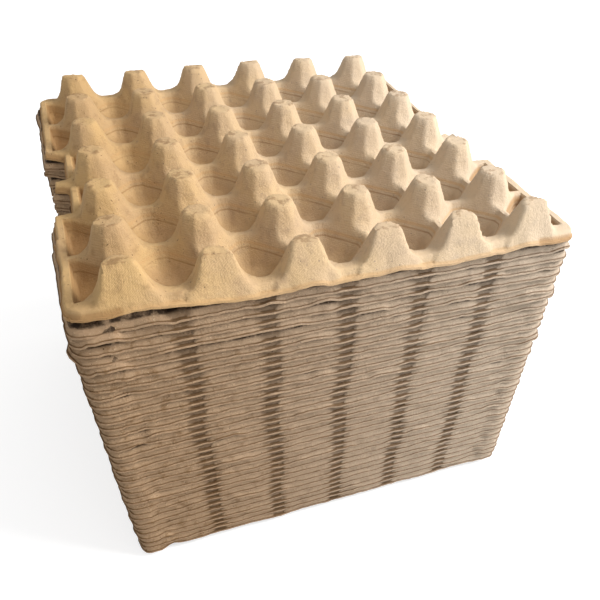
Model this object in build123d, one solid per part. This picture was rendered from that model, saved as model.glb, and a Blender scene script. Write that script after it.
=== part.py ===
from build123d import *
import os
from math import cos, radians, sin, sqrt, tan

# A nested stack of moulded pulp egg trays, five cells by six.
# Each tray is one pressed sheet: posts and cups are the same wall, folded up and down.
# Frame: X across the five cells, Y across the six, Z up, origin on the floor under the centre.

# driving dimensions, in millimetres and degrees
tray_count = 35
cells_x = 5
cells_y = 6
pitch = 47.5               # cell to cell, both ways
tray_width = 295.0         # rim edge to rim edge, along X
tray_depth = 295.0         # rim edge to rim edge, along Y
corner_radius = 18.0
wall = 1.8                 # thickness of the pulp sheet, square to its surface
draft = 17.5               # rim and notch walls, the steepest, from the vertical
cup_draft = 24.0           # cup walls under the saddles, from the vertical
nest_gap = 0.01            # vertical play between nested trays

post_height = 22.0         # rim edge to post top
post_top = 6.2             # post top, centre to each of its four edges
post_foot = 16.6           # post centre to its facets, at the rim's height
saddle_height = 4.0        # rim edge to the saddles and the side flanges
saddle_half_width = 2.2    # half the flat on top of a saddle

cup_depth = 14.0           # rim edge to the underside of the cups

flange_width = 5.5         # flat flange between a side pocket and the rim
pocket_depth = 10.0        # rim edge to the underside of the side pockets
notch_depth = 15.0         # finger notch, rim edge inward
notch_length = 26.0        # finger notch, along Y
notch_flange = 5.0         # flat strip left between a notch and its small pocket
notch_radius = 3.0

nest_pitch = wall / sin(radians(draft)) + nest_gap
steep = tan(radians(draft))
posts_x = [(i - cells_x / 2) * pitch for i in range(cells_x + 1)]
posts_y = [(j - cells_y / 2) * pitch for j in range(cells_y + 1)]
cell_centres = [(x + pitch / 2, y + pitch / 2) for x in posts_x[:-1] for y in posts_y[:-1]]
notched_bays = (cells_y // 2 - 1, cells_y // 2)    # the two middle bays of each side


def convex(low, high):
    """A convex block between two outlines that have the same number of corners."""
    count = len(low)
    faces = [Face(Wire.make_polygon(low)), Face(Wire.make_polygon(high))]
    for k in range(count):
        n = (k + 1) % count
        faces.append(Face(Wire.make_polygon([low[k], low[n], high[n], high[k]])))
    return Solid(Shell(faces))


def saddle_wall(z, offset):
    """Cell centre to the wall under a saddle, at height z, moved out by offset."""
    top = pitch / 2 - saddle_half_width + offset / cos(radians(cup_draft))
    return top + (z - saddle_height) * tan(radians(cup_draft))


def facet(z, offset):
    """Post centre to its facets, at height z, moved out by offset."""
    slope = (post_foot - post_top) / post_height
    return post_foot - slope * z + offset * sqrt(1 + slope * slope)


def octagon(z, offset):
    """Outline of a cell at height z: four walls under saddles, and the facets of four posts."""
    axial = saddle_wall(z, offset)
    other = (pitch / sqrt(2) - facet(z, -offset)) * sqrt(2) - axial
    quarter = [(axial, other), (other, axial)]
    corners = []
    for _ in range(4):
        corners += [(x, y, z) for x, y in quarter]
        quarter = [(-y, x) for x, y in quarter]
    return corners


def cell(depth, offset):
    """The hollow of a cell down to a depth, or with the wall's offset its outside."""
    z_low = wall - depth - offset
    return convex(octagon(z_low, offset), octagon(saddle_height, offset))


def post(offset):
    """A post from the rim's height up, or the hollow that the offset leaves inside it."""
    def diamond(z):
        corner = facet(z, -offset) * sqrt(2)
        return [(corner, 0, z), (0, corner, z), (-corner, 0, z), (0, -corner, z)]

    return convex(diamond(0), diamond(post_height - offset))


def side_pocket(reach, offset):
    """The hollow of a side pocket on the +X side: half a cell, closed by a wall at its rim."""
    bay = Pos(posts_x[-1] + pitch / 2, 0, 0) * cell(pocket_depth, offset)

    def trim(z):
        near = posts_x[-1]
        far = near + saddle_half_width + reach
        far += (z - saddle_height) * steep + offset / cos(radians(draft))
        return [(near, -pitch, z), (far, -pitch, z), (far, pitch, z), (near, pitch, z)]

    return bay & convex(trim(-cup_depth), trim(saddle_height))


def notch(offset):
    """A finger notch on the +X side, grown by offset for the wall around it."""
    grown = offset / cos(radians(draft))
    inner = tray_width / 2 - notch_depth - grown
    reach = 2 * notch_depth
    outline = RectangleRounded(reach, notch_length + 2 * grown, notch_radius + grown)
    return extrude(Pos(inner + reach / 2, 0) * outline, saddle_height, taper=-draft)


def at_bays(shape, bays):
    """Copies of a +X side shape at the given bays, and mirrored onto the -X side."""
    copies = []
    for bay in bays:
        placed = Pos(0, posts_y[bay] + pitch / 2, 0) * shape
        copies += [placed, placed.mirror(Plane.YZ)]
    return copies


def envelope(offset):
    """The tapered block that trims the rim, the front posts and the back posts."""
    inset = offset / cos(radians(draft))
    outline = RectangleRounded(tray_width - 2 * inset, tray_depth - 2 * inset, corner_radius - inset)
    return extrude(outline, post_height, taper=draft)


def upper_body(offset):
    """The flat web with its posts, or with the wall's offset the hollow under them."""
    web_top = saddle_height - offset
    web = Pos(0, 0, web_top / 2) * Box(tray_width, tray_depth, web_top)
    posts = [Pos(x, y, 0) * post(offset) for x in posts_x for y in posts_y]
    return (web + posts) & envelope(offset) - at_bays(notch(offset), notched_bays)


def below_web(offset):
    """The hollows of the cells and side pockets, or with the wall's offset their outsides."""
    top_lean = saddle_height * steep
    inner_edge = tray_width / 2 - posts_x[-1] - saddle_half_width - top_lean
    pocket_bays = [bay for bay in range(cells_y) if bay not in notched_bays]
    blocks = [Pos(x, y, 0) * cell(cup_depth, offset) for x, y in cell_centres]
    blocks += at_bays(side_pocket(inner_edge - flange_width, offset), pocket_bays)
    blocks += at_bays(side_pocket(inner_edge - notch_depth - notch_flange, offset), notched_bays)
    return blocks


def tray():
    """One tray, with its rim edge at z = 0."""
    return (upper_body(0) - upper_body(wall) + below_web(wall)) - below_web(0)


os.makedirs("parts", exist_ok=True)
pressed = tray()
for number in range(1, tray_count + 1):
    lift = cup_depth + (number - 1) * nest_pitch
    name = f"tray_{number:02d}"
    placed = Pos(0, 0, lift) * pressed
    placed.label = name
    export_step(placed, f"parts/{name}.step", write_pcurves=False)
print("nest pitch", round(nest_pitch, 3), "stack height",
      round(cup_depth + (tray_count - 1) * nest_pitch + post_height, 2))
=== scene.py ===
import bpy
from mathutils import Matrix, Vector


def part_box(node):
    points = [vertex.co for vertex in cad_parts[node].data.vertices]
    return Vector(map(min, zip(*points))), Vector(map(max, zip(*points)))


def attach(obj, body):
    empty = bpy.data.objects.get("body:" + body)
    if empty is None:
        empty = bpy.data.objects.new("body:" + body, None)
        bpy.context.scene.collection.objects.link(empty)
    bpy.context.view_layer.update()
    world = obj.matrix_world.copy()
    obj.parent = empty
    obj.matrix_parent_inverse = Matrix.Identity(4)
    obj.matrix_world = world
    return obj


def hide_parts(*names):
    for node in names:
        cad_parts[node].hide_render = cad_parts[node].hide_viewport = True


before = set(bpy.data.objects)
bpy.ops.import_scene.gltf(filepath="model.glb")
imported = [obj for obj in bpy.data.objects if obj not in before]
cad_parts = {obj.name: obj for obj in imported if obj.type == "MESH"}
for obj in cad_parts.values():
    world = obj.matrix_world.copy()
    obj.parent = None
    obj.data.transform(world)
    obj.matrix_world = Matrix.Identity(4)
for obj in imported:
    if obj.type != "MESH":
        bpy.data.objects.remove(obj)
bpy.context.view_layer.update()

import math

import bmesh
import bpy
from mathutils import Matrix, Vector, noise

mm = 0.001
trayNames = sorted(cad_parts)
lowName, topName = trayNames[0], trayNames[-1]
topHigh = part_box(topName)[1][2] / mm      # height of the top tray's post tops, mm
print("frame: trays", len(trayNames), "top", round(topHigh, 2))

# The pressed sheet that every tray is, in mm, with z = 0 at its rim edge.
sheet = dict(
    pitch=47.5, cellsX=5, cellsY=6, halfX=151.0, halfY=151.4, corner=9.5, wall=1.4,
    settle=0.17,      # how much closer each tray sits to the next than in the frame
    postHeight=22.0, facetTop=7.3, facetSlope=0.43, concave=0.12,
    saddle=4.0, saddleHalf=1.9, wallSlope=2.3, flangeSlope=6.0,
    creaseAxial=19.2, creaseDiagonal=15.9, creaseRound=0.2, crease=-2.4,
    cupFloor=-12.0, pocketFloor=-9.0, bowlPower=3.0,
    rimLean=0.30, rimLip=0.7, postBlend=0.5, barBlend=0.4, rimBlend=1.0,
    flangeInner=144.6, notchInner=138.3, notchFlange=133.0, notchHalf=19.0, notchBlend=5.0,
    scoopDepth=1.3, scoopWidth=7.0, scoopReach=9.0,
    floorGap=0.7)     # the lowest cups are pressed flat this far over the floor

# A post's ridge and the saddle it runs into: distance from the post's middle, height.
ridgePath = [(0, 22), (6.5, 22), (7.8, 21.4), (8.6, 19.6), (12.7, 8.6), (14.0, 6.6), (15.8, 5.1),
             (18.4, 4.3), (22, 4.0), (40, 4.0)]


def along(path, t):
    for (a, u), (b, v) in zip(path, path[1:]):
        if t <= b:
            return u + (v - u) * max(0.0, t - a) / (b - a)
    return path[-1][1]


def smooth(low, high, t):
    t = min(1.0, max(0.0, (t - low) / (high - low)))
    return t * t * (3 - 2 * t)


def softMin(a, b, k):
    h = max(0.0, k - abs(a - b)) / k
    return min(a, b) - h * h * k * 0.25


def softMax(a, b, k):
    return -softMin(-a, -b, k)


def toPosts(x, y):      # distances to the nearest column and row of posts
    s = sheet
    u = x / s["pitch"] + s["cellsX"] / 2
    v = y / s["pitch"] + s["cellsY"] / 2
    column = min(s["cellsX"], max(0, round(u)))
    row = min(s["cellsY"], max(0, round(v)))
    return abs(u - column) * s["pitch"], abs(v - row) * s["pitch"]


def notchDepth(y):      # how far the side rim is cut back at y, as a share of the notch
    s = sheet
    share = 0.0
    for centre in (-s["pitch"] / 2, s["pitch"] / 2):
        off = abs(y - centre)
        share = max(share, 1 - smooth(s["notchHalf"] - s["notchBlend"] / 2,
                                      s["notchHalf"] + s["notchBlend"] / 2, off))
    return share


def sheetHeight(x, y, edgeX, edgeY):      # the sheet's upper face; edgeX and edgeY are distances to the rim
    s = sheet
    fromColumn, fromRow = toPosts(x, y)
    halfPitch = s["pitch"] / 2
    cellX, cellY = abs(halfPitch - fromColumn), abs(halfPitch - fromRow)
    flat = (fromColumn + fromRow) / math.sqrt(2)
    bent = halfPitch * math.sqrt(2) - math.hypot(cellX, cellY)
    lean = flat * (1 - s["concave"]) + bent * s["concave"]
    facet = s["postHeight"] - (lean - s["facetTop"]) / s["facetSlope"]
    ridge = along(ridgePath, max(fromColumn, fromRow))
    post = softMin(min(facet, s["postHeight"]), ridge, s["postBlend"])

    height = post
    pastPosts = abs(y) > s["pitch"] * s["cellsY"] / 2      # saddles run on to the front and back rims
    for run, side in ((fromColumn, 0.0 if pastPosts else fromRow), (fromRow, fromColumn)):
        fall = s["saddle"] - (side - s["saddleHalf"]) * s["wallSlope"]
        height = softMax(height, softMin(along(ridgePath, run), fall, s["postBlend"]), s["barBlend"])

    outside = abs(x) > s["pitch"] * s["cellsX"] / 2
    octagon = max(cellX, cellY, (cellX + cellY) / math.sqrt(2) * s["creaseAxial"] / s["creaseDiagonal"])
    ring = octagon * (1 - s["creaseRound"]) + math.hypot(cellX, cellY) * s["creaseRound"]
    reach = min(1.0, ring / s["creaseAxial"])
    bottom = s["pocketFloor"] if outside else s["cupFloor"]
    height = max(height, bottom + (s["crease"] - bottom) * reach ** s["bowlPower"])

    if outside:      # side pockets end at a flange
        inner = s["notchFlange"] if abs(y) < s["pitch"] else s["flangeInner"]
        flange = s["saddle"] - max(0.0, inner - abs(x)) * s["flangeSlope"]
        height = softMax(height, flange, s["barBlend"])
        height = min(height, max(s["saddle"], post))
    wallX = max(0.0, edgeX - s["rimLip"]) / s["rimLean"]
    wallY = max(0.0, edgeY - s["rimLip"]) / s["rimLean"]
    return softMin(height, softMin(wallX, wallY, s["rimBlend"]), s["rimBlend"])


def gridLines(half, stops, spacing, extra=()):      # line positions: stops in from both edges, then even
    inner = half - stops[-1]
    count = max(1, round(2 * inner / spacing))
    lines = [-half + t for t in stops[:-1]] + [half - t for t in stops[:-1]]
    for k in range(count + 1):
        t = -inner + 2 * inner * k / count
        if all(abs(t - e) > spacing * 0.45 for e in extra):
            lines.append(t)
    return sorted(lines + list(extra))


def roundCorner(x, y):      # carries a square's corner onto an arc
    s = sheet
    flatX, flatY = s["halfX"] - s["corner"], s["halfY"] - s["corner"]
    u, v = abs(x) - flatX, abs(y) - flatY
    if u <= 0 or v <= 0:
        return x, y
    far = max(u, v) / math.hypot(u, v)
    return math.copysign(flatX + u * far, x), math.copysign(flatY + v * far, y)


def wobble(x, y, size, seed):
    return noise.noise(Vector((x / size, y / size, seed * 7.13)))


# How each tray's rim wanders, in mm; a reach is a distance in from the rim.
rim = dict(
    shared=0.9, own=0.4, ownLong=0.7, fine=0.42, liftReach=26.0,      # up and down
    push=0.65, ripple=0.4, pushReach=7.0,      # in and out
    crackSize=30.0, crackLift=2.0, crackPush=0.9,
    flare=0.7, topFlare=1.6, flareReach=3.2,
    spread=1.3, spreadLow=2.2, spreadReach=10.0,      # the trays under the top one have spread sideways
    topLeft=-1.3, topRight=1.5, topRightBack=-4.0, sideReach=12.0,      # the top tray's rim sits off centre
    tabShort=3.0)      # the tab between two finger notches stops short
crumples = [(-131, -151, 12, 1.5), (-151, -140, 14, 1.4), (151, -140, 22, 0.7), (130, -151, 16, 0.7)]
curls = [(-119, -143, 45, 4.6), (119, -143, 32, 1.8), (150, 90, 80, -1.6)]      # the top tray's lifts and a sag


def rimShift(x, y, number, edge, isTop):      # lift and outward push near the rim
    r = rim
    near = 1 - smooth(0.0, r["liftReach"], edge)
    close = 1 - smooth(0.0, r["pushReach"], edge)
    rough = 1.0
    for cx, cy, reach, gain in crumples:
        rough += gain * (1 - smooth(0.0, reach, math.hypot(x - cx, y - cy)))
    lift = r["shared"] * wobble(x, y, 60.0, 3.0 + number * 0.05)
    lift += r["ownLong"] * wobble(x, y, 34.0, number * 1.7)
    crackPlace = Vector((x / r["crackSize"], y / r["crackSize"], number * 3.3 + 50))
    crack = smooth(0.24, 0.5, noise.noise(crackPlace))
    fine = r["own"] * wobble(x, y, 11.0, number * 2.9) + r["fine"] * wobble(x, y, 4.5, number * 5.1)
    fine += r["crackLift"] * crack
    push = r["push"] * wobble(x, y, 24.0, number * 4.7 + 9) + r["ripple"] * wobble(x, y, 6.5, number * 6.1)
    push = (push + r["crackPush"] * crack) * rough * close
    sideways = smooth(130.0, 150.0, abs(x))
    inward = 1 - smooth(0.0, r["sideReach"], edge)
    if isTop:
        shift = r["topLeft"] if x < 0 else r["topRight"] + r["topRightBack"] * smooth(-60.0, 90.0, y)
        push += shift * sideways * inward
        flare = r["topFlare"] * (1 - sideways)
    else:
        spread = r["spread"] + r["spreadLow"] * (1 - number / len(trayNames))
        push += spread * (1 - smooth(0.0, r["spreadReach"], edge)) * sideways
        flare = r["flare"]
    push += flare * (1 - smooth(0.0, r["flareReach"], edge))
    push -= r["tabShort"] * sideways * (1 - smooth(3.5, 7.5, abs(y))) * inward
    return lift * near + fine * rough ** 0.5 * close, push


def scoopAt(x, number):      # recess in the front and back walls half way between posts
    s = sheet
    u = x / s["pitch"] + s["cellsX"] / 2
    if u < 0 or u > s["cellsX"]:
        return 0.0
    away = (u - math.floor(u) - 0.5) * s["pitch"] + 3.0 * wobble(x * 0.1, number * 9.0, 40.0, 5.0)
    left = smooth(-s["scoopWidth"] - 1.5, -s["scoopWidth"] + 4.0, away)
    right = 1 - smooth(s["scoopWidth"] - 2.6, s["scoopWidth"], away)
    return left * right * s["scoopDepth"]


def refineRim(bm, reach, cuts):      # closer steps along the rim than inside it
    s = sheet
    for axis, half, other in ((1, s["halfY"], s["halfX"]), (0, s["halfX"], s["halfY"])):
        cross = 1 - axis
        chosen = [e for e in bm.edges
                  if all(abs(v.co[axis]) > half - reach and abs(v.co[cross]) < other - reach for v in e.verts)
                  and abs(e.verts[0].co[axis] - e.verts[1].co[axis]) < 0.01]
        bmesh.ops.subdivide_edges(bm, edges=chosen, cuts=cuts)


# Unevenness of the pressed face, in mm: height and size of its bumps, and rougher post tops.
grain = dict(broad=0.22, broadSize=9.0, fine=0.14, fineSize=3.2,
             top=0.45, topSize=2.6, topFrom=20.5, topDrop=0.15)


def faceBump(x, y, z, number):
    g = grain
    bump = g["broad"] * wobble(x, y, g["broadSize"], number)
    bump += g["fine"] * wobble(x, y, g["fineSize"], number + 40)
    if z > g["topFrom"]:
        bump += g["top"] * wobble(x, y, g["topSize"], number + 80) - g["topDrop"]
    return bump


def makeTray(name, number, linesX, linesY, isTop):
    s = sheet
    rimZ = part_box(name)[1][2] / mm - s["postHeight"] - (len(trayNames) - number) * s["settle"]
    bm = bmesh.new()
    bmesh.ops.create_grid(bm, x_segments=len(linesX) - 1, y_segments=len(linesY) - 1, size=1.0)
    for v in bm.verts:
        column = round((v.co.x + 1) / 2 * (len(linesX) - 1))
        row = round((v.co.y + 1) / 2 * (len(linesY) - 1))
        v.co = Vector((linesX[column], linesY[row], 0))
    if not isTop:
        refineRim(bm, 9.0, 1)
    levels = bm.verts.layers.float.new("level")      # height over the rim edge, for the material
    scoops = bm.verts.layers.float.new("scoop")
    for v in bm.verts:
        x, y = v.co.x, v.co.y
        edgeX, edgeY = s["halfX"] - abs(x), s["halfY"] - abs(y)
        notched = notchDepth(y)
        if notched > 0 and abs(x) > s["notchFlange"]:      # pulls the rim back round a finger notch
            cut = s["halfX"] + (s["notchInner"] - s["halfX"]) * notched
            share = (abs(x) - s["notchFlange"]) / (s["halfX"] - s["notchFlange"])
            x = math.copysign(s["notchFlange"] + share * (cut - s["notchFlange"]), x)
            steep = abs(notchDepth(y + 0.4) - notchDepth(y - 0.4)) / 0.8 * (s["halfX"] - s["notchInner"])
            edgeX = (cut - abs(x)) / math.sqrt(1 + steep * steep)
        hollow = scoopAt(x, number) * (1 - smooth(0.0, s["scoopReach"], edgeY)) * smooth(0.5, 2.2, edgeY)
        z = sheetHeight(x, y, edgeX, max(0.0, edgeY - hollow))
        v[levels] = z
        v[scoops] = hollow / s["scoopDepth"]
        px, py = roundCorner(x, y)
        lift, push = rimShift(px, py, number, min(edgeX, edgeY), isTop)
        out = Vector((px, py, 0)).normalized()
        if edgeX < edgeY and abs(py) < s["halfY"] - s["corner"]:
            out = Vector((math.copysign(1, px), 0, 0))
        elif edgeY <= edgeX and abs(px) < s["halfX"] - s["corner"]:
            out = Vector((0, math.copysign(1, py), 0))
        if isTop:
            for cx, cy, reach, rise in curls:
                lift += rise * math.exp(-((x - cx) ** 2 + (y - cy) ** 2) / reach ** 2)
        place = Vector((px, py, 0)) + out * push
        high = rimZ + z + lift + faceBump(px, py, z, number)
        v.co = Vector((place.x, place.y, max(s["wall"] + s["floorGap"], high))) * mm
    if sum(face.normal.z for face in bm.faces) < 0:
        bmesh.ops.reverse_faces(bm, faces=bm.faces)
    bm.normal_update()
    bmesh.ops.solidify(bm, geom=bm.faces[:], thickness=s["wall"] * mm)
    bmesh.ops.recalc_face_normals(bm, faces=bm.faces[:])
    for face in bm.faces:
        face.smooth = True
    for e in bm.edges:
        if len(e.link_faces) == 2 and e.calc_face_angle() > 0.85:
            e.smooth = False
    mesh = bpy.data.meshes.new(name + "_pulp")
    bm.to_mesh(mesh)
    bm.free()
    piece = bpy.data.objects.new(name + "_pulp", mesh)
    bpy.context.scene.collection.objects.link(piece)
    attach(piece, "root")
    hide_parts(name)
    return piece


class Signal:      # a shader socket that takes part in sums
    def __init__(self, wiring, socket):
        self.wiring = wiring
        self.socket = socket

    def math(self, operation, other, swapped=False):
        pair = [other, self] if swapped else [self, other]
        return self.wiring.add("ShaderNodeMath", {"operation": operation}, {0: pair[0], 1: pair[1]})

    def __add__(self, other):
        return self.math("ADD", other)

    def __radd__(self, other):
        return self.math("ADD", other, True)

    def __sub__(self, other):
        return self.math("SUBTRACT", other)

    def __rsub__(self, other):
        return self.math("SUBTRACT", other, True)

    def __mul__(self, other):
        return self.math("MULTIPLY", other)

    def __rmul__(self, other):
        return self.math("MULTIPLY", other, True)


class Wiring:      # the node tree of one material
    def __init__(self, name):
        self.material = bpy.data.materials.new(name)
        self.material.use_nodes = True
        self.tree = self.material.node_tree
        self.tree.nodes.clear()

    def add(self, kind, settings, sockets, output=0):
        node = self.tree.nodes.new(kind)
        for key, value in settings.items():
            setattr(node, key, value)
        for key, value in sockets.items():
            if isinstance(value, Signal):
                self.tree.links.new(value.socket, node.inputs[key])
            else:
                node.inputs[key].default_value = value
        return Signal(self, node.outputs[output]) if node.outputs else node


def linear(red, green, blue):      # a colour written in display values
    return tuple(((c / 255) ** 2.2) for c in (red, green, blue)) + (1.0,)


# Some of these colours are painted light and shade: the pale tint for the side towards the lamp, the cup tint
# for shade deep in cups and pockets, the near-black tint for shadow under the lips and in the scoops, and the
# crease line tint; the lip tint is painted shade in part.
pulpLook = dict(warm=(189, 155, 106), grey=(166, 137, 107), dark=(122, 92, 60), edge=(186, 148, 102),
                litSide=(194, 182, 166), line=(126, 92, 54), lip=(96, 68, 38), cupShade=(146, 110, 70),
                paintedShade=(46, 33, 23), speck=(70, 50, 34), fibre=(202, 176, 142), rough=0.92, shine=0.25,
                bump=0.6, stackBump=1.6, bumpDepth=0.0018, blotchScale=38.0, cloudScale=170.0,
                fibreScale=900.0, speckScale=620.0, weaveScale=600.0)


def makePulp(name, base, isTop):
    look = pulpLook
    w = Wiring(name)

    def mix(factor, first, second):
        return w.add("ShaderNodeMix", {"data_type": "RGBA"}, {0: factor, 6: first, 7: second}, 2)

    def tint(factor, first, shade):
        return mix(factor, first, linear(*look[shade]))

    def step(signal, low, high):
        return w.add("ShaderNodeMapRange", {"interpolation_type": "SMOOTHSTEP"},
                     {"Value": signal, "From Min": low, "From Max": high})

    def weave(direction):
        return w.add("ShaderNodeTexWave", {"bands_direction": direction},
                     {"Vector": turned, "Scale": look["weaveScale"], "Distortion": 1.2})

    place = w.add("ShaderNodeTexCoord", {}, {}, "Object")
    turned = w.add("ShaderNodeMapping", {}, {"Vector": place, "Rotation": (0.0, 0.0, 0.785)})
    blotch = w.add("ShaderNodeTexNoise", {}, {"Vector": place, "Scale": look["blotchScale"], "Detail": 3.0})
    cloud = w.add("ShaderNodeTexNoise", {},
                  {"Vector": place, "Scale": look["cloudScale"], "Detail": 4.0, "Roughness": 0.6})
    fibre = w.add("ShaderNodeTexNoise", {},
                  {"Vector": place, "Scale": look["fibreScale"], "Detail": 3.0, "Roughness": 0.7})
    specks = w.add("ShaderNodeTexNoise", {}, {"Vector": place, "Scale": look["speckScale"], "Detail": 1.0})

    level = w.add("ShaderNodeAttribute", {"attribute_name": "level"}, {}, "Fac")
    scoop = w.add("ShaderNodeAttribute", {"attribute_name": "scoop"}, {}, "Fac")
    across = w.add("ShaderNodeSeparateXYZ", {}, {"Vector": place}, "X")
    normal = w.add("ShaderNodeNewGeometry", {}, {}, "Normal")
    upward = step(w.add("ShaderNodeSeparateXYZ", {}, {"Vector": normal}, "Z"), 0.35, 0.7)

    colour = mix(step(blotch, 0.3, 0.7) * 0.5, linear(*base), linear(*look["grey"]))
    colour = tint(step(cloud, 0.48, 0.75) * (0.4 if isTop else 0.75), colour, "dark")
    colour = tint(step(fibre, 0.58, 0.76) * (0.5 if isTop else 1.0), colour, "fibre")
    colour = tint(step(specks, 0.735, 0.76) * 0.75, colour, "speck")
    colour = tint(step(across, -0.15, 0.15) * 0.58, colour, "litSide")      # painted light: the right side, towards the lamp, is painted paler
    if isTop:
        pockets = step(across.math("ABSOLUTE", 0.0), 0.1205, 0.1235)
        crease = step((level - sheet["crease"] - 0.1).math("ABSOLUTE", 0.0), 0.62, 0.2)
        colour = tint(step(level, 1.6, 0.6) * step(level, -1.0, 0.0) * 0.45, colour, "edge")
        # painted shade: the cups are painted darker the deeper they go
        colour = tint(step(level, -3.0, -9.0) * 0.35, colour, "cupShade")
        # painted shade: the side pockets are painted darker below the flange
        colour = tint(pockets * step(level, 3.4, 1.5) * 0.6, colour, "cupShade")
        # painted shade: the left side, away from the lamp, is painted darker
        colour = tint(step(across, 0.0, -0.15) * 0.12, colour, "dark")
        # painted shade: a darker line painted along the crease round each cup, broken up by noise
        colour = tint(crease * step(blotch, 0.25, 0.6) * 0.5, colour, "line")
        colour = tint(step(level, 21.2, 21.8) * step(cloud, 0.5, 0.62) * 0.5, colour, "dark")
    else:
        # a dark brown line along each lip, strongest on its upward face: partly the raw edge's own colour and
        # partly painted shade where the lip meets the wall
        colour = tint(step(level, 0.7, 0.15) * (upward * 0.66 + 0.14), colour, "lip")
        # painted shadow: a near-black band just under the next tray's lip
        colour = tint(step(level, 2.8, 4.1) * step(cloud, 0.3, 0.55) * 0.92, colour, "paintedShade")
        # painted shade in the scoop recess between posts, made uneven with noise
        scoopShade = scoop * (step(blotch, 0.2, 0.6) * 0.36 + step(level, 1.2, 3.2) * 0.4)
        colour = tint(scoopShade, colour, "paintedShade")
    height = cloud + fibre * 0.6 + (weave("X") + weave("Y")) * 0.07
    strength = look["bump"] * (1.0 if isTop else look["stackBump"])
    bump = w.add("ShaderNodeBump", {}, {"Height": height, "Strength": strength, "Distance": look["bumpDepth"]})
    shader = w.add("ShaderNodeBsdfPrincipled", {},
                   {"Base Color": colour, "Roughness": look["rough"], "Specular IOR Level": look["shine"],
                    "Normal": bump})
    w.add("ShaderNodeOutputMaterial", {}, {"Surface": shader})
    return w.material


topPulp = makePulp("pulp_top", pulpLook["warm"], True)
lowPulp = makePulp("pulp_stack", pulpLook["grey"], False)
print("materials", topPulp.name, lowPulp.name)

# Where each tray's mesh is close: lines across it, in mm, finer near the rim, the notches and the flanges.
steps = dict(top=1.62, near=3.1, lowX=4.9, lowY=9.5)
fineStops = [0, 0.5, 1.0, 1.7, 2.5, 3.5, 4.8, 6.3, 8.0]
lowStops = [0, 0.45, 1.0, 1.8, 2.7, 4.0, 6.2, 9.2, 14.0]
notchEnds = [sheet["pitch"] / 2 - sheet["notchHalf"], sheet["pitch"] / 2 + sheet["notchHalf"]]
notchEdges = [side * (end + at) for side in (-1, 1) for end in notchEnds for at in (-2.6, -1.0, 1.0, 2.6)]
flangeEdges = [side * at for side in (-1, 1) for at in (140.6, 142.4, 143.4, 144.1, 144.8, 145.6)]
halfX, halfY = sheet["halfX"], sheet["halfY"]
topLines = (gridLines(halfX, fineStops[:6], steps["top"], flangeEdges),
            gridLines(halfY, fineStops, steps["top"], notchEdges))
nearLines = (gridLines(halfX, lowStops, steps["near"]), gridLines(halfY, lowStops, steps["near"], notchEdges))
lowLines = (gridLines(halfX, lowStops, steps["lowX"]), gridLines(halfY, lowStops, steps["lowY"], notchEdges))
for number, name in enumerate(trayNames, 1):
    isTop = name == topName
    lines = topLines if isTop else nearLines if name in (lowName, trayNames[-2]) else lowLines
    piece = makeTray(name, number, lines[0], lines[1], isTop)
    piece.data.materials.append(topPulp if isTop else lowPulp)
print("trays made", len(trayNames), "lines across the top one", len(topLines[0]), len(topLines[1]))

view = dict(lens=35.194, shiftX=-0.0421, shiftY=0.2195, azimuth=22.723, elevation=48.083, roll=3.271,
            fromCorner=(0.0326, -5.5642, 3.4261))      # in cell pitches from the front left post top
camera = bpy.data.objects.new("camera", bpy.data.cameras.new("camera"))
bpy.context.scene.collection.objects.link(camera)
camera.data.lens, camera.data.sensor_width = view["lens"], 36.0
camera.data.shift_x, camera.data.shift_y = view["shiftX"], view["shiftY"]
camera.data.clip_start, camera.data.clip_end = 0.01, 20.0
pitchM = sheet["pitch"] * mm
corner = Vector((-sheet["cellsX"] / 2 * pitchM, -sheet["cellsY"] / 2 * pitchM, topHigh * mm))
spot = corner + Vector(view["fromCorner"]) * pitchM
turn = (Matrix.Rotation(math.radians(-view["azimuth"]), 4, "Z")
        @ Matrix.Rotation(math.radians(90 - view["elevation"]), 4, "X")
        @ Matrix.Rotation(math.radians(view["roll"]), 4, "Z"))
camera.matrix_world = Matrix.Translation(spot) @ turn
bpy.context.scene.camera = camera
print("camera at", [round(c, 3) for c in spot])

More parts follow.
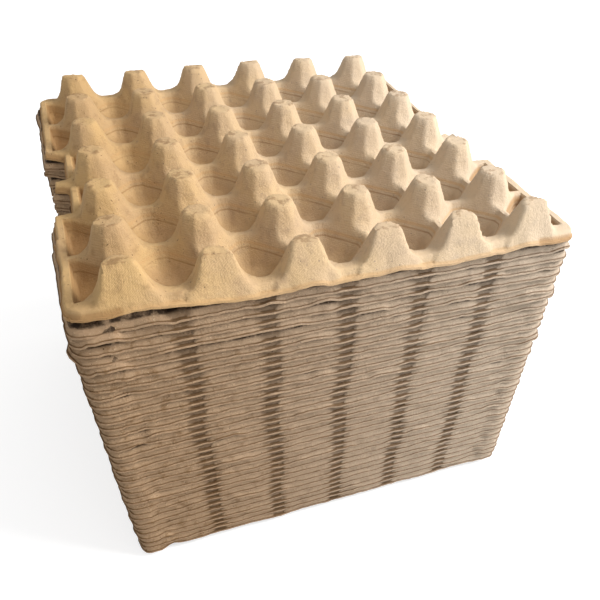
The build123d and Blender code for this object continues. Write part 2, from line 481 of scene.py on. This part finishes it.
studio = dict(floorSize=6.0, floorGrey=0.92, floorGlow=1.75, glowShare=0.35, ambient=0.70,
              keyPlace=(0.92, -0.42, 0.95), keyTarget=(0.0, 0.0, 0.18), keySize=0.7, keyPower=28.0)
white = (1.0, 1.0, 1.0, 1.0)
bpy.ops.mesh.primitive_plane_add(size=studio["floorSize"], location=(0, 0, 0))
floor = bpy.context.object
floor.name = "floor"
paint = Wiring("floor")
grey = studio["floorGrey"]
seen = paint.add("ShaderNodeLightPath", {}, {}, "Is Camera Ray")
lit = paint.add("ShaderNodeBsdfDiffuse", {}, {"Color": (grey, grey, grey, 1.0)})
glow = paint.add("ShaderNodeEmission", {}, {"Color": white, "Strength": studio["floorGlow"]})
both = paint.add("ShaderNodeMixShader", {}, {0: seen * studio["glowShare"], 1: lit, 2: glow})
paint.add("ShaderNodeOutputMaterial", {}, {"Surface": both})
floor.data.materials.append(paint.material)

world = bpy.data.worlds.new("studio")
bpy.context.scene.world = world
world.use_nodes = True
sky = world.node_tree
ambient = sky.nodes["Background"]
ambient.inputs["Color"].default_value = white
ambient.inputs["Strength"].default_value = studio["ambient"]
backdrop = sky.nodes.new("ShaderNodeBackground")      # what the camera sees behind the stack
backdrop.inputs["Color"].default_value = white
chooser = sky.nodes.new("ShaderNodeMixShader")
sky.links.new(sky.nodes.new("ShaderNodeLightPath").outputs["Is Camera Ray"], chooser.inputs[0])
sky.links.new(ambient.outputs[0], chooser.inputs[1])
sky.links.new(backdrop.outputs[0], chooser.inputs[2])
sky.links.new(chooser.outputs[0], sky.nodes["World Output"].inputs["Surface"])

keyLight = bpy.data.lights.new("key", "AREA")
keyLight.energy, keyLight.size = studio["keyPower"], studio["keySize"]
key = bpy.data.objects.new("key", keyLight)
bpy.context.scene.collection.objects.link(key)
keyPlace = Vector(studio["keyPlace"])
aim = (Vector(studio["keyTarget"]) - keyPlace).to_track_quat("-Z", "Y")
key.matrix_world = Matrix.Translation(keyPlace) @ aim.to_matrix().to_4x4()
print("floor, world and lamp ready")

bpy.context.scene.view_settings.view_transform = "Standard"
